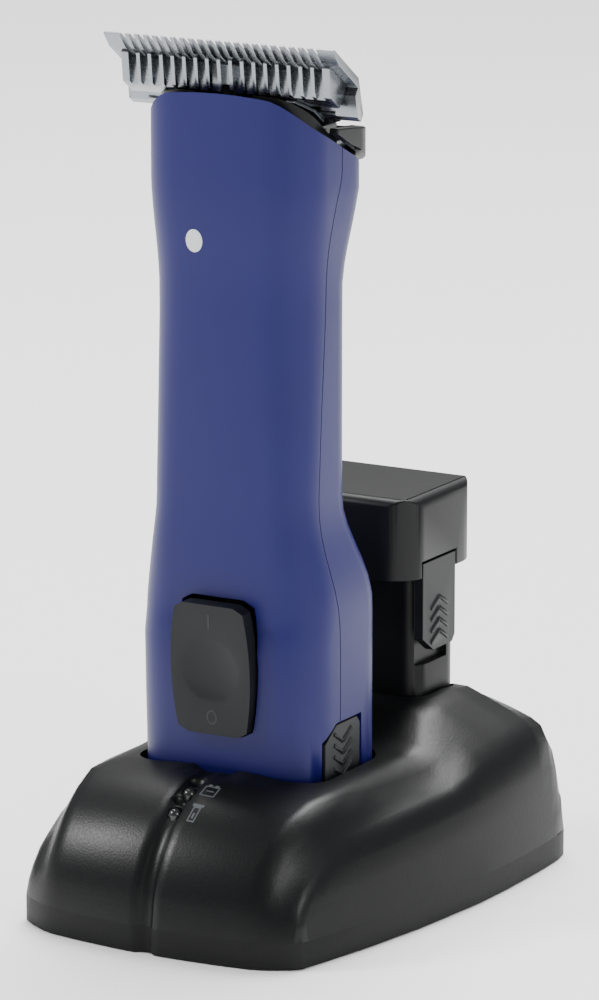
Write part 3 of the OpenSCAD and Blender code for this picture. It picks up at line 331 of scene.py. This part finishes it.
def line(x, y, wide, deep):
    """A straight strip seen from above, centred at x, y, all in mm."""
    return bar((x * MM, y * MM, ICON_FROM * MM), X, Y, wide, deep, 2)


def outline(x, y, wide, deep):
    """A rectangle of printed lines seen from above, centred at x, y, all in mm."""
    centre = Vector((x, y, ICON_FROM)) * MM
    ends = [bar(centre + Y * (side * deep / 2 * MM), X, Y, wide, LINE, 2) for side in (-1, 1)]
    sides = [bar(centre + X * (side * (wide - LINE) / 2 * MM), X, Y, LINE, deep - LINE, 2)
             for side in (-1, 1)]
    return ends + sides


# I above O on the rocker, and the status light on the head
FRONT_Y = -0.024
on_stroke = bar((0, FRONT_Y, 0.0597), X, Z, 0.4, 2.7)
off_ring = ring((0, FRONT_Y, 0.0405), X, Z, (1.15, 1.45), (0.85, 1.15))
light_oval = disc((-0.0051, FRONT_Y, 0.1324), X, Z, 1.87, 2.2)
# the I and O are the rocker's own plastic: their paler colour is painted highlight on the relief
mark("on_mark", rocker, "switch", [on_stroke], Y, moulded_mark_painted_highlight)
mark("off_mark", rocker, "switch", [off_ring], Y, moulded_mark_painted_highlight)
mark("power_dot", front, "clipper", [light_oval], Y, mark_white)

# a battery beside the first lens and a clipper beside the second
battery_icon = outline(ICON_X, BATTERY_ICON_Y, 3.2, 2.6) + [
    line(ICON_X - 0.7, BATTERY_ICON_Y + 1.6, 0.8, 0.5),
    line(ICON_X + 0.7, BATTERY_ICON_Y + 1.6, 0.8, 0.5),
    line(ICON_X, BATTERY_ICON_Y, 1.7, LINE)]
clipper_icon = outline(ICON_X, CLIPPER_ICON_Y, 1.6, 2.8) + [
    line(ICON_X, CLIPPER_ICON_Y + 1.8, 2.4, 0.5),
    line(ICON_X, CLIPPER_ICON_Y - 0.3, 0.4, 1.1)]
mark("battery_icon", dock_top, "dock", battery_icon, -Z, mark_grey)
mark("clipper_icon", dock_top, "dock", clipper_icon, -Z, mark_grey)

# ---------- stage ----------
FLOOR_HALF = 4
LIGHTS_AIM = Vector((0, 0, 0.08))

floor_mesh = bpy.data.meshes.new("floor")
floor_work = bmesh.new()
bmesh.ops.create_grid(floor_work, x_segments=1, y_segments=1, size=FLOOR_HALF)
floor_work.to_mesh(floor_mesh)
floor_work.free()
floor = bpy.data.objects.new("floor", floor_mesh)
bpy.context.scene.collection.objects.link(floor)
pale_floor = material("pale_floor", "#fafafa", "#fcfcfc", (0.6, 0.65), grain=5, relief=0.0)
floor_mesh.materials.append(pale_floor)

world = bpy.data.worlds.new("studio")
bpy.context.scene.world = world
world.use_nodes = True
backdrop = world.node_tree.nodes["Background"]
backdrop.inputs["Color"].default_value = (1, 1, 1, 1)
backdrop.inputs["Strength"].default_value = 0.35


def soft_light(name, place, watts, size):
    """A square lamp aimed at the middle of the set."""
    data = bpy.data.lights.new(name, "AREA")
    data.energy = watts
    data.size = size
    made = bpy.data.objects.new(name, data)
    bpy.context.scene.collection.objects.link(made)
    made.location = place
    made.rotation_euler = (LIGHTS_AIM - Vector(place)).to_track_quat("-Z", "Y").to_euler()


soft_light("key_light", (-0.95, -0.55, 0.9), 15, 0.35)
soft_light("fill_light", (1.1, -0.3, 0.7), 7, 0.5)
soft_light("top_light", (0.1, 0.6, 1.2), 14, 0.7)
# a broad, weak sun stands for the light that comes from all over the room
sun_data = bpy.data.lights.new("sky_light", "SUN")
sun_data.energy = 4.4
sun_data.angle = math.radians(40)
sun = bpy.data.objects.new("sky_light", sun_data)
bpy.context.scene.collection.objects.link(sun)
sun.rotation_euler = (math.radians(-28), math.radians(-12), 0)
